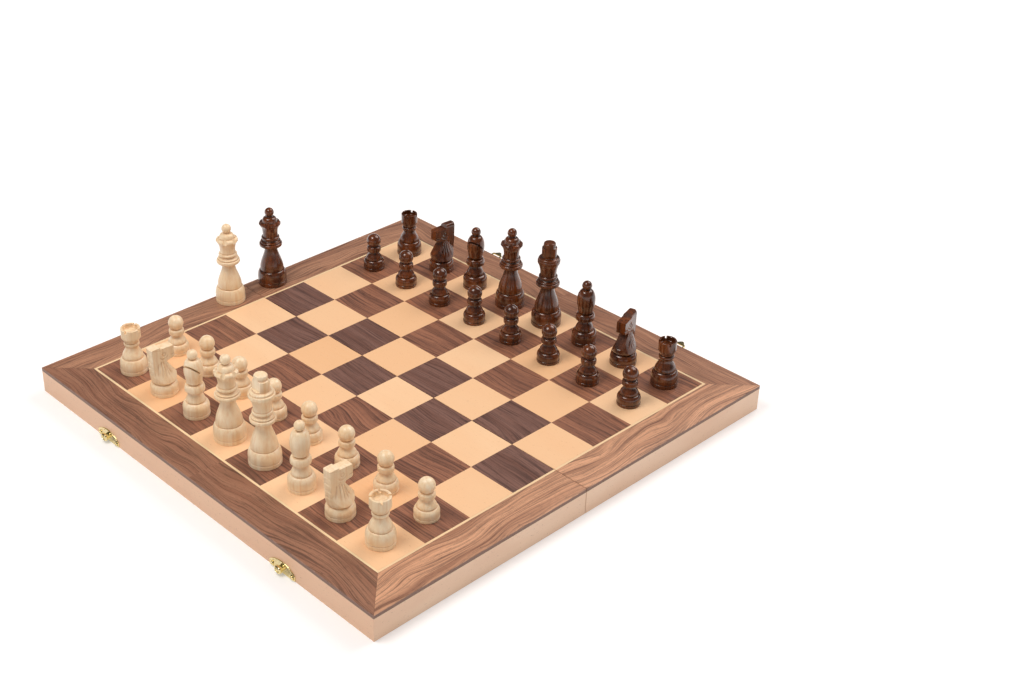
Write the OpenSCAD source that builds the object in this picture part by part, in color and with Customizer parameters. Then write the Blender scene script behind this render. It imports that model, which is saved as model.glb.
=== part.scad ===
// Folding wooden chess box, open as a board, with its chessmen standing on it.
// X runs from white's side to black's side, Y towards the a-file, Z up.
// The origin is the middle of the seam, on the plane of the rims.

/* [Board] */
// Side of one square
square = 40; // [30:1:55]
// Width of the walnut border, with the inlay line
border_w = 30; // [20:1:45]
// Width of the light inlay line round the playing field
stringing_w = 1.8; // [1:0.1:5]
// Height of the tray's rails
rail_h = 18; // [14:0.5:40]
// Thickness of the tray's rails
rail_t = 10; // [9:0.5:16]
// Thickness of the panel under the veneers
panel_t = 2.4; // [1.5:0.1:6]
// Thickness of the veneers
veneer_t = 0.6; // [0.4:0.1:2]
// Gap between the two halves at the seam
seam_gap = 0.5; // [0.2:0.1:1.5]
// Glue line between neighbouring veneers and at the rails' mitres
glue_gap = 0.06; // [0.02:0.01:0.2]

/* [Hinges] */
// Distance of each hinge from the middle of the seam
hinge_pos = 110; // [40:1:125]
// Length of each hinge
hinge_len = 30; // [18:1:50]
// Outer radius of the hinge barrel
barrel_r = 1.1; // [0.9:0.05:1.6]
// Radius of the hinge pin
hinge_pin_r = 0.5; // [0.3:0.05:0.6]
// Width of each hinge leaf from the seam
leaf_w = 7.5; // [6:0.5:8.5]
// Thickness of each hinge leaf
leaf_t = 0.8; // [0.5:0.1:1.2]
// Length of the hinge screws
hinge_screw_l = 8; // [5:0.5:12]

/* [Latches] */
// Distance of each latch from the middle of the long side
latch_pos = 101; // [40:1:130]
// Width of the latch plates
latch_w = 26; // [22:1:34]
// Thickness of the latch plates
latch_t = 0.8; // [0.5:0.1:1.2]
// Height of the catch plate at the middle of its arch
catch_h = 9.2; // [9:0.2:12]
// Height of the latch plate at its middle lobe
latch_h = 12.5; // [11:0.5:13.5]
// Height of both plates at their ends
latch_end_h = 4.5; // [4.2:0.1:6]
// Height of the catch stud above the rim
stud_h = 4.5; // [4:0.1:5.5]
// Width of the catch stud along the rail
stud_w = 6; // [4:0.5:7]
// Thickness of the catch stud across the rim
stud_t = 5; // [4:0.5:6]
// How far the catch stud stands out from the rail
stud_out = 5; // [4:0.5:7]
// Height of the hasp's pin above the rim
hasp_pin_h = 7.5; // [7:0.1:9]
// Distance of the hasp's pin from the rail
hasp_pin_out = 2.3; // [2.1:0.1:3]
// Radius of the hasp's pin
hasp_pin_r = 0.6; // [0.4:0.05:0.7]
// Thickness of the hasp
hasp_t = 0.9; // [0.6:0.1:1.1]
// Angle of the hasp above level, as it stands open
hasp_angle = 6; // [0:1:60]
// Clearance of the stud in the hasp's window
window_clear = 0.7; // [0.6:0.05:1.2]
// Width of the bars round the hasp's window
hasp_bar = 1.5; // [1:0.1:2.5]
// Length of the hasp's finger tab beyond the window's bar
hasp_tab_l = 3; // [2.5:0.1:4]
// Width of the finger tab where it starts
hasp_tab_w = 7; // [5:0.1:9]
// Length of the latch screws
latch_screw_l = 6; // [4:0.5:8]

/* [Chessmen] */
// Height of the kings
king_h = 71; // [62:0.5:95]
// Height of the queens
queen_h = 67.9; // [58:0.5:90]
// Radius of the kings' and queens' feet
royal_r = 11.9; // [11:0.1:14]
// Height of the bishops
bishop_h = 53.6; // [48:0.5:75]
// Radius of the bishops' feet
bishop_r = 9.8; // [9:0.1:13]
// Height of the knights
knight_h = 40; // [36:0.5:55]
// Radius of the knights' feet
knight_r = 10.4; // [10:0.1:13]
// Thickness of the knights' heads
knight_head_w = 7.3; // [5:0.1:10]
// Height of the rooks
rook_h = 37; // [31:0.5:50]
// Radius of the rooks' feet
rook_r = 10.3; // [9.5:0.1:13]
// Height of the pawns
pawn_h = 31.1; // [27:0.5:45]
// Radius of the pawns' feet
pawn_r = 8.8; // [8:0.1:12]
// Width of the slots in the rooks' turrets
rook_slot_w = 1.5; // [0.8:0.1:2.5]
// Width of the slot in the bishops' mitres
bishop_slot_w = 1.2; // [0.6:0.1:2]
// How far each spare queen stands from the seam
spare_x = 21.5; // [15:0.5:120]

/* [Hidden] */
$fn = 48;
side_files = 8;
side_ranks = 4;
file_names = ["a", "b", "c", "d", "e", "f", "g", "h"];

half_l = side_files / 2 * square + border_w;      // half of the board's side
half_x = seam_gap / 2;                            // where each half starts
field_y = side_files / 2 * square;                // edge of the playing field along Y
field_x = side_ranks * square;                    // edge of the playing field along X
panel_z = rail_h + panel_t;                       // top of the panel
top_z = panel_z + veneer_t;                       // playing surface

run_clear = 0.05;                                 // radial clearance of a turning pin
knuckle_gap = 0.2;                                // between neighbouring knuckles
notch_clear = 0.3;                                // round the barrel, in the rails
knuckle_l = (hinge_len - 2 * knuckle_gap) / 3;
screw_r = 0.8;                                    // shank of every screw
screw_head_r = 1.6;
screw_head_h = 0.8;
hinge_screw_x = (barrel_r + leaf_w) / 2 + notch_clear;
hinge_screw_y = hinge_len / 2 - 2 * screw_head_r - 1;
latch_screw_y = latch_w / 2 - 3;
latch_screw_z = 2.3;
rim_clear = 0.3;                                  // latch plates stay this far from the rim

window_z = hasp_pin_h + stud_h;                   // from the hasp's pin to its window's middle
window_l = stud_t + 2 * window_clear;
window_w = stud_w + 2 * window_clear;
hasp_w = window_w + 2 * hasp_bar;
hasp_l = window_z + window_l / 2 + hasp_bar;      // without its tab
tab_tip_r = 2.2;
ear_gap = 0.2;                                    // between knuckle and ears
ear_t = 1;
hasp_knuckle_r = hasp_pin_r + 0.7;
hasp_knuckle_l = 5;

SIDES = ["white", "black"];
OFFICERS = ["rook_a", "knight_b", "bishop_c", "queen", "king", "bishop_f", "knight_g", "rook_h"];

beech = "#E0B48E";
walnut = "#75503F";
dark_edge = "#5C3A28";
maple = "#F2C492";
inlay = "#F6D3A6";
brass = "#D9B45A";
cream = "#EDD5A6";
brown = "#43210F";

// ---- the board ----

// Draws its children on the near half, or mirrored on the far half
module half(far) {
    mirror([far ? 0 : 1, 0, 0]) children();
}

// A mitred bar along X as a flat outline, with its outer edge on the X axis
module rail_outline(length) {
    cut = glue_gap / sqrt(2);
    polygon([[cut, 0], [length - cut, 0], [length - cut - rail_t, rail_t], [cut + rail_t, rail_t]]);
}

// The four rails of a half, with their outer edges on the half's outline
module rails(far) {
    color(beech) half(far) difference() {
        linear_extrude(rail_h) {
            for (m = [0, 1]) mirror([0, m])
                translate([half_x, -half_l]) rail_outline(half_l - half_x);
            translate([half_l, -half_l]) rotate(90) rail_outline(2 * half_l);
            translate([half_x, half_l]) rotate(-90) rail_outline(2 * half_l);
        }
        for (s = [-1, 1]) translate([0, s * hinge_pos, 0]) {
            hinge_recess();
            hinge_screw_places() cylinder(r = screw_r, h = hinge_screw_l);
        }
        latch_screw_places() cylinder(r = screw_r, h = latch_screw_l);
    }
}

module panel(far) {
    color(dark_edge) half(far)
        translate([half_x, -half_l, rail_h]) cube([half_l - half_x, 2 * half_l, panel_t]);
}

// Three mitred strips along the outer sides of a half, between two insets from its edge
module strips(outer, inner) {
    o = half_l - outer;
    i = half_l - inner + glue_gap;
    cut = glue_gap / sqrt(2);
    translate([0, 0, panel_z]) linear_extrude(veneer_t) {
        for (m = [0, 1]) mirror([0, m])
            polygon([[half_x, i], [i - cut, i], [o - cut, o], [half_x, o]]);
        polygon([[i, cut - i], [i, i - cut], [o, o - cut], [o, cut - o]]);
    }
}

module border(far) {
    color(walnut) half(far) strips(0, border_w - stringing_w);
}

module stringing(far) {
    color(inlay) half(far) strips(border_w - stringing_w, border_w);
}

// a1 is dark, and so is each square whose file and rank add up to an even number
module squares(far, dark) {
    first_rank = far ? side_ranks + 1 : 1;
    color(dark ? walnut : maple)
        for (rank = [first_rank : first_rank + side_ranks - 1], f = [0 : side_files - 1])
            if (((f + rank) % 2 == 1) == dark)
                intersection() {
                    translate([square_x(rank), square_y(f), panel_z])
                        linear_extrude(veneer_t) square(square - glue_gap, center = true);
                    half(far) translate([half_x, -half_l, 0]) cube([half_l, 2 * half_l, 2 * top_z]);
                }
}

function square_x(rank) = (rank - side_ranks - 0.5) * square;
function square_y(f) = (side_files / 2 - 0.5 - f) * square;

// ---- the hinges, whose axis is the Y axis ----

// A round bar along Y, from y0 to y1
module bar_y(r, y0, y1) {
    translate([0, y1, 0]) rotate([90, 0, 0]) rotate(-90) cylinder(r = r, h = y1 - y0);
}

// Where one hinge lies in the rails of the +X half
module hinge_recess() {
    translate([-1, -hinge_len / 2 - knuckle_gap, -1])
        cube([leaf_w + 1, hinge_len + 2 * knuckle_gap, leaf_t + 1]);
    bar_y(barrel_r + notch_clear, -hinge_len / 2 - knuckle_gap, hinge_len / 2 + knuckle_gap);
}

module hinge_screw_places() {
    for (s = [-1, 1]) translate([hinge_screw_x, s * hinge_screw_y, 0]) children();
}

// One leaf on the +X half, with a knuckle between each pair of y values
module hinge_leaf(knuckles, bore_r) {
    root = barrel_r + knuckle_gap;
    inside = (hinge_pin_r + barrel_r) / 2 - 0.1;
    difference() {
        union() {
            translate([root, -hinge_len / 2, 0]) cube([leaf_w - root, hinge_len, leaf_t]);
            for (k = knuckles) {
                bar_y(barrel_r, k[0], k[1]);
                translate([inside, k[0], 0]) cube([root - inside, k[1] - k[0], leaf_t]);
            }
        }
        bar_y(bore_r, -hinge_len, hinge_len);
        hinge_screw_places() {
            cylinder(r = screw_r, h = leaf_t);
            cylinder(r1 = screw_head_r, r2 = screw_r, h = leaf_t);
        }
    }
}

module hinge_leaves(far) {
    mid = knuckle_l / 2;
    end = hinge_len / 2;
    outer = [[-end, -mid - knuckle_gap], [mid + knuckle_gap, end]];
    color(brass) half(far) for (s = [-1, 1]) translate([0, s * hinge_pos, 0])
        if (far) hinge_leaf([[-mid, mid]], hinge_pin_r + run_clear);
        else hinge_leaf(outer, hinge_pin_r);
}

module hinge_pins() {
    color(brass) for (s = [-1, 1]) translate([0, s * hinge_pos, 0])
        bar_y(hinge_pin_r, -hinge_len / 2, hinge_len / 2);
}

module hinge_screws(far) {
    color(brass) half(far) for (s = [-1, 1]) translate([0, s * hinge_pos, 0])
        hinge_screw_places() {
            cylinder(r = screw_r, h = hinge_screw_l);
            cylinder(r1 = screw_head_r, r2 = screw_r, h = leaf_t);
        }
}

// ---- the latches, on the outer sides ----

// Puts children on the outer face of the +X half at each latch: X runs out of the face
module latch_places() {
    for (s = [-1, 1]) translate([half_l, s * latch_pos, 0]) children();
}

// Screws at each latch, running into the rail from its face
module latch_screw_places() {
    latch_places() for (s = [-1, 1])
        translate([0, s * latch_screw_y, latch_screw_z]) rotate([0, -90, 0]) children();
}

// A plate on the rail's face: square ends, and an arch or a lobe of the given height
module latch_plate(height, lobe_w) {
    rise = height - latch_end_h;
    arch_r = (lobe_w * lobe_w / 4 + rise * rise) / (2 * rise);
    difference() {
        rotate([90, 0, 90]) linear_extrude(latch_t) {
            translate([-latch_w / 2, rim_clear]) square([latch_w, latch_end_h - rim_clear]);
            intersection() {
                translate([-lobe_w / 2, rim_clear]) square([lobe_w, height]);
                translate([0, height - arch_r]) circle(r = arch_r, $fn = 96);
            }
        }
        for (s = [-1, 1]) translate([-1, s * latch_screw_y, latch_screw_z])
            rotate([0, 90, 0]) cylinder(r = screw_r, h = latch_t + 2);
    }
}

module catch_plates() {
    color(brass) half(false) latch_places() {
        latch_plate(catch_h, latch_w);
        translate([0, -stud_w / 2, stud_h - stud_t / 2]) cube([stud_out, stud_w, stud_t]);
    }
}

module screw_heads_and_shanks() {
    cylinder(r = screw_r, h = latch_screw_l);
    translate([0, 0, -latch_t - screw_head_h]) cylinder(r = screw_head_r, h = screw_head_h);
    translate([0, 0, -latch_t]) cylinder(r = screw_r, h = latch_t);
}

module catch_screws() {
    color(brass) half(false) latch_screw_places() screw_heads_and_shanks();
}

module latch_screws() {
    color(brass) half(true) latch_screw_places() screw_heads_and_shanks();
}

// Ears that hold the hasp's pin, one each side of the hasp's knuckle
module latch_plates() {
    ear_y = hasp_knuckle_l / 2 + ear_gap;
    color(brass) half(true) latch_places() difference() {
        union() {
            latch_plate(latch_h, 0.62 * latch_w);
            for (m = [0, 1]) mirror([0, m, 0]) translate([0, ear_y, hasp_pin_h]) {
                translate([hasp_pin_out, 0, 0]) bar_y(hasp_knuckle_r, 0, ear_t);
                translate([0, 0, -hasp_knuckle_r]) cube([hasp_pin_out, ear_t, 2 * hasp_knuckle_r]);
            }
        }
        translate([hasp_pin_out, 0, hasp_pin_h]) bar_y(hasp_pin_r, -latch_w, latch_w);
    }
}

module latch_pins() {
    end = hasp_knuckle_l / 2 + ear_gap + ear_t;
    color(brass) half(true) latch_places() translate([hasp_pin_out, 0, hasp_pin_h])
        bar_y(hasp_pin_r, -end, end);
}

// The hasp lies along +X from its pin, at the origin, and is then tilted up
module hasp(side) {
    neck = hasp_knuckle_r + ear_gap + 0.5;
    translate([half_l + hasp_pin_out, side * latch_pos, hasp_pin_h]) rotate([0, -hasp_angle, 0])
        color(brass) difference() {
            union() {
                bar_y(hasp_knuckle_r, -hasp_knuckle_l / 2, hasp_knuckle_l / 2);
                translate([0, 0, -hasp_t / 2]) linear_extrude(hasp_t) {
                    translate([0, -hasp_knuckle_l / 2]) square([neck + hasp_bar, hasp_knuckle_l]);
                    hull() {
                        translate([neck, -hasp_w / 2]) square([hasp_bar, hasp_w]);
                        for (s = [-1, 1]) translate([hasp_l - hasp_bar, s * (hasp_w / 2 - hasp_bar)])
                            circle(r = hasp_bar);
                    }
                    hull() {
                        translate([hasp_l - hasp_bar, -hasp_tab_w / 2]) square([hasp_bar, hasp_tab_w]);
                        translate([hasp_l + hasp_tab_l - tab_tip_r, 0]) circle(r = tab_tip_r);
                    }
                }
            }
            bar_y(hasp_pin_r + run_clear, -hasp_w, hasp_w);
            translate([window_z - window_l / 2, -window_w / 2, -hasp_t])
                cube([window_l, window_w, 2 * hasp_t]);
        }
}

// ---- the chessmen ----
// Every outline is a list of [radius, height] points, built from curves of a few steps each.

steps = 6;
function part_of(i) = i / steps;
// Starts level and ends upright
function turn(r0, z0, r1, z1) = [for (i = [0 : steps]) let (a = 90 * part_of(i))
    [r0 + (r1 - r0) * sin(a), z0 + (z1 - z0) * (1 - cos(a))]];
// Starts upright and ends level
function rise(r0, z0, r1, z1) = [for (i = [0 : steps]) let (a = 90 * part_of(i))
    [r1 + (r0 - r1) * cos(a), z0 + (z1 - z0) * sin(a)]];
// A round bead that stands out from the radius r
function bead(r, z0, z1, out) = [for (i = [0 : steps]) let (a = 180 * part_of(i) - 90)
    [r + out * cos(a), (z0 + z1) / 2 + (z1 - z0) / 2 * sin(a)]];
// Upright at both ends, with its slope between them
function wave(r0, z0, r1, z1) = [for (i = [0 : 2 * steps]) let (s = part_of(i) / 2)
    [(r0 + r1) / 2 + (r0 - r1) / 2 * cos(180 * s), z0 + (z1 - z0) * s]];
// Spreads out more and more steeply
function flare(r0, z0, r1, z1, power) = [for (i = [0 : steps]) let (s = part_of(i))
    [r0 + (r1 - r0) * pow(s, power), z0 + (z1 - z0) * s]];
// A ball on the axis, from the neck upwards
function ball(z, r, neck_r) = let (start = -acos(neck_r / r))
    [for (i = [0 : 2 * steps]) let (a = start + (90 - start) * i / (2 * steps))
    [i == 2 * steps ? 0 : r * cos(a), z + r * sin(a)]];
function raised(points, z) = [for (p = points) [p[0], p[1] + z]];

// Foot ring and round body: their groove, the widest place and the top are at the heights z
function foot_line(r, top_r, z) = concat(
    [[0, 0], [r - 0.4, 0], [r, 0.4], [r, z[0] - 0.4], [r - 0.5, z[0]], [r - 0.1, z[0] + 0.5]],
    rise(r, z[1], top_r, z[2]));

// A foot and body with the skirt above them, up to the top of the stem
function body_line(r, edge_r, stem_r, z, stem_z) = concat(
    foot_line(r, edge_r - 0.4, z),
    turn(edge_r - 0.4, z[2] + 0.05, edge_r, z[2] + 0.7),
    wave(edge_r, z[2] + 0.8, stem_r, stem_z - 0.5), [[stem_r, stem_z]]);

module turned(points) {
    rotate_extrude() polygon(points);
}

// Heights of the heads, from the top of the stem
king_head = 36.5;
queen_head = 33.4;
bishop_head = 32.8;
rook_head = 14.8;
pawn_head = 15.1;

// Body, collar and bell of a king or a queen, up to the rim of its crown
function royal_line(stem_z, bell_r, rim_r, rim_z, power) = concat(
    body_line(royal_r, 0.81 * royal_r, 4.9, [0.1, 0.18, 0.375] * stem_z, stem_z),
    raised(concat(
        [[8.8, 0.3]], turn(8.9, 0.35, 9.35, 1.2), rise(9.35, 1.8, 8, 3.1),
        bead(7.8, 3.3, 4.4, 0.5), turn(7.7, 4.5, 6.2, 5.8), bead(6.3, 6.3, 8.6, 1.1),
        flare(bell_r, 8.9, rim_r, rim_z, power)), stem_z));

// The finial is a drum with a narrower top, and both are sawn flat on two sides
module king(turn_angle, rim_r) {
    stem_z = king_h - king_head;
    finial_r = 5.9;
    top_r = 4.8;
    finial_w = 8.4;
    difference() {
        turned(concat(royal_line(stem_z, 6.3, rim_r, 19.7, 2.3), raised(concat(
            rise(rim_r, 21.4, 8.4, 22.3), [[8.2, 22.6]], rise(8.2, 23.2, 6.6, 24.2),
            [[finial_r, 24.5], [finial_r, 32.6], [top_r, 33.1]],
            rise(top_r, king_head - 1.1, top_r - 0.9, king_head),
            [[0, king_head]]), stem_z)));
        rotate(turn_angle) for (m = [0, 180]) rotate(m)
            translate([finial_w / 2, -2 * finial_r, stem_z + 25.2])
                cube([2 * finial_r, 4 * finial_r, king_head]);
    }
}

module queen() {
    stem_z = queen_h - queen_head;
    ball_r = 3.8;
    rim_r = 8.85;
    scoops = 6;
    difference() {
        turned(concat(royal_line(stem_z, 6.1, rim_r, 19.4, 3.2), raised(concat(
            rise(rim_r, 19.7, 7.2, 21.5), [[6.2, 21.7]], rise(6, 22.3, 3, 25.7),
            ball(queen_head - ball_r, ball_r, 2.4)), stem_z)));
        for (i = [1 : scoops]) rotate(360 / scoops * i + 40)
            translate([rim_r + 0.2, 0, stem_z + 19.6]) rotate([0, -25, 0])
                cylinder(r = 1.8, h = 8, center = true);
    }
}

module bishop(slot_angle) {
    stem_z = bishop_h - bishop_head;
    ball_r = 3.85;
    difference() {
        turned(concat(
            body_line(bishop_r, 0.71 * bishop_r, 4.3, [0.14, 0.35, 0.57] * stem_z, stem_z),
            raised(concat(
                [[7.1, 0.2]], turn(7.1, 0.25, 7.4, 0.8), rise(7.4, 1.8, 5.8, 5.2),
                turn(5.7, 5.3, 4.2, 6), rise(4.9, 6.2, 5.9, 7.2), wave(5.9, 7.4, 7, 15.4),
                rise(7, 17, 2.9, 25.6), ball(bishop_head - ball_r, ball_r, 2.4)), stem_z)));
        rotate(slot_angle) translate([1.2, 0, stem_z + 16.2]) rotate([0, 38, 0])
            translate([0, -10, 0]) cube([bishop_slot_w, 20, 20]);
    }
}

module rook(slot_angle, wall_r) {
    stem_z = rook_h - rook_head;
    slot_h = 2.2;
    difference() {
        turned(concat(
            body_line(rook_r, 0.77 * rook_r, 4.9, [0.15, 0.26, 0.55] * stem_z, stem_z),
            raised(concat(bead(5, 0.2, 2.9, 0.9), [
                [5.2, 3.3], [wall_r - 0.5, 6.6], [wall_r, 7.2], [wall_r, rook_head - 0.4],
                [wall_r - 0.4, rook_head], [5.2, rook_head], [5, rook_head - 3.2],
                [0, rook_head - 3.8]]), stem_z)));
        for (i = [0 : 3]) rotate(slot_angle + 90 * i)
            translate([3, -rook_slot_w / 2, rook_h - slot_h])
                cube([2 * wall_r, rook_slot_w, 2 * slot_h]);
    }
}

module pawn() {
    stem_z = pawn_h - pawn_head;
    ball_r = 5.85;
    turned(concat(
        body_line(pawn_r, 0.77 * pawn_r, 4, [0.155, 0.31, 0.55] * stem_z, stem_z),
        raised(concat(
            [[5.4, 0.2]], turn(5.5, 0.25, 5.8, 1), rise(5.8, 3, 4.6, 4.4),
            ball(pawn_head - ball_r, ball_r, 4.1)), stem_z)));
}

// Turns shares of a knight's foot radius and height into an outline
function knight_points(shares) = [for (p = shares) [p[0] * knight_r, p[1] * knight_h]];

// The horse looks along +X. A turned blank is sawn to its side outline, and its sides are cut
// back to a flat head with a neck that bows out below it.
module knight(crown) {
    r = knight_r;
    h = knight_h;
    w = knight_head_w / 2;
    bow = 0.85 * r;
    flank = [[0, 0.24 * h], [bow + 0.85 * r, 0.24 * h], [bow + 0.85 * r, 0.275 * h],
        [bow + 0.75 * r, 0.35 * h], [bow + 0.6 * r, 0.45 * h], [bow + w + 0.75, 0.6 * h],
        [bow + w - 0.5, 0.72 * h], [0, 0.72 * h]];
    intersection() {
        turned(concat(foot_line(r, 0.72 * r, [0.08, 0.13, 0.24] * h),
            turn(0.71 * r, 0.243 * h, 0.94 * r, 0.36 * h),
            knight_points([[1, 0.52], [1.04, 0.67], [1.06, 1.1], [0, 1.1]])));
        rotate([90, 0, 0]) linear_extrude(4 * r, center = true) polygon(knight_points(concat(
            [[-1.2, 0], [1.2, 0], [1.2, 0.35], [0.92, 0.39], [0.18, 0.66], [0.22, 0.69],
            [0.74, 0.71], [0.82, 0.74]], crown)));
        union() {
            cylinder(r = 1.2 * r, h = 0.25 * h);
            translate([-2 * r, -w, 0]) cube([4 * r, 2 * w, 2 * h]);
            intersection_for (m = [-1, 1]) translate([-0.1 * r, m * bow, 0]) turned(flank);
        }
    }
}

// Stands a man on a square, or anywhere else on the board
module on_square(f, rank) {
    translate([square_x(rank), square_y(f), top_z]) children();
}

function tone(side) = side == "white" ? cream : brown;
function home_rank(side) = side == "white" ? 1 : 2 * side_ranks;

// What differs between the two colours: the king's rim and turn, the rooks' turrets, the way the
// knights face, and the line of their heads from the nose over the ears, in shares of their
// radius and height
function king_rim_r(side) = side == "white" ? 9.4 : 8.8;
function king_angle(side) = side == "white" ? 0 : 48;
function turret_r(side) = side == "white" ? 7.4 : 6.7;
function knight_angle(side, f) = side == "white" ? 0 : (f == 1 ? 175 : 195);
function crown(side) = side == "white"
    ? [[0.79, 0.95], [-0.25, 0.965], [-0.31, 1], [-1.2, 1]]
    : [[0.8, 0.95], [-0.16, 0.965], [-0.25, 1.03], [-1.2, 1.03]];

// The officer of the given file, on its home square
module officer(side, f) {
    color(tone(side)) on_square(f, home_rank(side)) {
        if (f == 0 || f == 7) rook(26 + 17 * f, turret_r(side));
        if (f == 1 || f == 6) rotate(knight_angle(side, f)) knight(crown(side));
        if (f == 2 || f == 5) bishop(f == 2 ? 200 : 20);
        if (f == 3) queen();
        if (f == 4) king(king_angle(side), king_rim_r(side));
    }
}

module pawn_of(side, f) {
    color(tone(side)) on_square(f, side == "white" ? 2 : 2 * side_ranks - 1) pawn();
}

// The spare queens stand on the border beside the a-file, one each side of the seam
module spare_queen(side) {
    x = side == "white" ? -spare_x : spare_x;
    color(tone(side)) translate([x, half_l - royal_r - 0.4, top_z]) queen();
}

rails(false);  // near_rails
rails(true);  // far_rails
panel(false);  // near_panel
panel(true);  // far_panel
border(false);  // near_border
border(true);  // far_border
stringing(false);  // near_stringing
stringing(true);  // far_stringing
squares(false, false);  // near_light_squares
squares(true, false);  // far_light_squares
squares(false, true);  // near_dark_squares
squares(true, true);  // far_dark_squares
hinge_leaves(false);  // near_hinge_leaves
hinge_leaves(true);  // far_hinge_leaves
hinge_pins();
hinge_screws(false);  // near_hinge_screws
hinge_screws(true);  // far_hinge_screws
catch_plates();
catch_screws();
latch_plates();
latch_pins();
latch_screws();
hasp(1);  // left_hasp
hasp(-1);  // right_hasp
for (side = SIDES, f = [0 : side_files - 1]) {
    officer(side, f);
    pawn_of(side, f);
}
for (side = SIDES) spare_queen(side);
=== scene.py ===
import math

import bpy
import numpy as np
from mathutils import Matrix


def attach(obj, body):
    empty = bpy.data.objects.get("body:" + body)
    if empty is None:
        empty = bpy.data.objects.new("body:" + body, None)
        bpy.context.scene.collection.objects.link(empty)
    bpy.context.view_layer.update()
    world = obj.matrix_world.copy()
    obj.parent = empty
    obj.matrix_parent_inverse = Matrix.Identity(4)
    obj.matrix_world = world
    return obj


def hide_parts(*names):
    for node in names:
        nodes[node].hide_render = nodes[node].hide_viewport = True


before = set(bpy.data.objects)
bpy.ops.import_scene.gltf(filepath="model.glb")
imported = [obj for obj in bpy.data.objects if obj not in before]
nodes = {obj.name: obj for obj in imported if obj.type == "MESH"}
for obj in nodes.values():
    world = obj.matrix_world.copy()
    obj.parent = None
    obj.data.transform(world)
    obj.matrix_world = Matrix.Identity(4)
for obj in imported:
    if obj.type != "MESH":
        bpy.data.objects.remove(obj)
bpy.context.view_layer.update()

mm = 0.001
board = {"square": 40.0, "half": 190.0, "seam": 0.25, "border": 28.2, "glue": 0.06, "low": 20.4,
         "top": 21.0, "arris": 0.35}
print("frame loaded")


# Small tools for node trees and meshes

def linear(hexColour):
    # sRGB byte to linear light
    parts = [int(hexColour[i:i + 2], 16) / 255 for i in (1, 3, 5)]
    return (*[c / 12.92 if c <= 0.04045 else ((c + 0.055) / 1.055) ** 2.4 for c in parts], 1)


def addNode(tree, kind, inputs=None, **settings):
    made = tree.nodes.new("ShaderNode" + kind)
    for key, value in settings.items():
        setattr(made, key, value)
    for key, value in (inputs or {}).items():
        if isinstance(value, bpy.types.NodeSocket):
            tree.links.new(value, made.inputs[key])
        else:
            made.inputs[key].default_value = value
    return made


def calc(tree, operation, a, b=0.0, clamp=False):
    return addNode(tree, "Math", {0: a, 1: b}, operation=operation, use_clamp=clamp).outputs[0]


def newMaterial(name):
    made = bpy.data.materials.new(name)
    made.use_nodes = True
    return made, made.node_tree, made.node_tree.nodes["Principled BSDF"]


def bumpOf(tree, height, distance, strength):
    return addNode(tree, "Bump", {"Height": height, "Distance": distance,
                                  "Strength": strength}).outputs[0]


def dress(piece, material):
    piece.data.materials.clear()
    piece.data.materials.append(material)


def addPiece(name, points, faces, material, body, node, paintedShade=None, sharp=38):
    # points are rows of x, y, z in millimetres, in the frame of the whole set
    mesh = bpy.data.meshes.new(name)
    mesh.from_pydata((np.asarray(points, float) * mm).tolist(), [], faces)
    # values of painted shade, kept on the points so that the finish darkens the grooves
    if paintedShade is not None:
        held = mesh.attributes.new("paintedShade", "FLOAT", "POINT")
        held.data.foreach_set("value", np.asarray(paintedShade, np.float32).ravel())
    mesh.update()
    mesh.shade_smooth()
    mesh.set_sharp_from_angle(angle=math.radians(sharp))
    piece = bpy.data.objects.new(name, mesh)
    bpy.context.scene.collection.objects.link(piece)
    dress(piece, material)
    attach(piece, body)
    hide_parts(node)
    return piece


def gridFaces(rows, columns):
    # four-sided faces of a grid of points whose rows are closed rings, pointing outwards when the
    # rings run anticlockwise and the rows run upwards
    row = np.arange(rows - 1)[:, None] * columns
    column = np.arange(columns)[None, :]
    after = (column + 1) % columns
    return np.stack([row + column, row + after, row + columns + after, row + columns + column],
                    axis=-1).reshape(-1, 4).tolist()


def closedGrid(grid):
    # a grid whose first and last rows are single points on the axis becomes a closed surface
    rows, columns = grid.shape[:2]
    inner = grid[1:-1].reshape(-1, 3)
    points = np.vstack([inner, grid[0, 0], grid[-1, 0]])
    faces = gridFaces(rows - 2, columns)
    low, high = len(inner), len(inner) + 1
    ring = np.arange(columns)
    after = (ring + 1) % columns
    top = (rows - 3) * columns
    faces += np.stack([np.full(columns, low), after, ring], axis=-1).tolist()
    faces += np.stack([np.full(columns, high), top + ring, top + after], axis=-1).tolist()
    return points, faces


def boxSolid(low, high, turn=None, place=(0, 0, 0)):
    corners = np.array([[x, y, z] for z in (low[2], high[2])
                        for x, y in ((low[0], low[1]), (high[0], low[1]), (high[0], high[1]),
                                     (low[0], high[1]))])
    if turn is not None:
        corners = corners @ np.array(turn).T
    faces = [[3, 2, 1, 0], [4, 5, 6, 7]] + [[i, (i + 1) % 4, 4 + (i + 1) % 4, 4 + i] for i in range(4)]
    return corners + np.array(place), faces


def roundSolid(radius, length, turn, place, sides=40):
    # a bar that starts at its place and runs along its own Z
    angle = np.linspace(0, 2 * np.pi, sides, endpoint=False)
    ring = np.stack([radius * np.cos(angle), radius * np.sin(angle), 0 * angle], -1)
    corners = np.vstack([ring, ring + [0, 0, length]]) @ np.array(turn).T + np.array(place)
    faces = [list(range(sides))[::-1], list(range(sides, 2 * sides))] + gridFaces(2, sides)
    return corners, faces


def joined(solids):
    points, faces, start = [], [], 0
    for p, f in solids:
        points.append(p)
        faces += [[start + i for i in face] for face in f]
        start += len(p)
    return np.vstack(points), faces


def turnZ(degrees):
    a = math.radians(degrees)
    return np.array([[math.cos(a), -math.sin(a), 0], [math.sin(a), math.cos(a), 0], [0, 0, 1]])


def turnY(degrees):
    a = math.radians(degrees)
    return np.array([[math.cos(a), 0, math.sin(a)], [0, 1, 0], [-math.sin(a), 0, math.cos(a)]])


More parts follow.
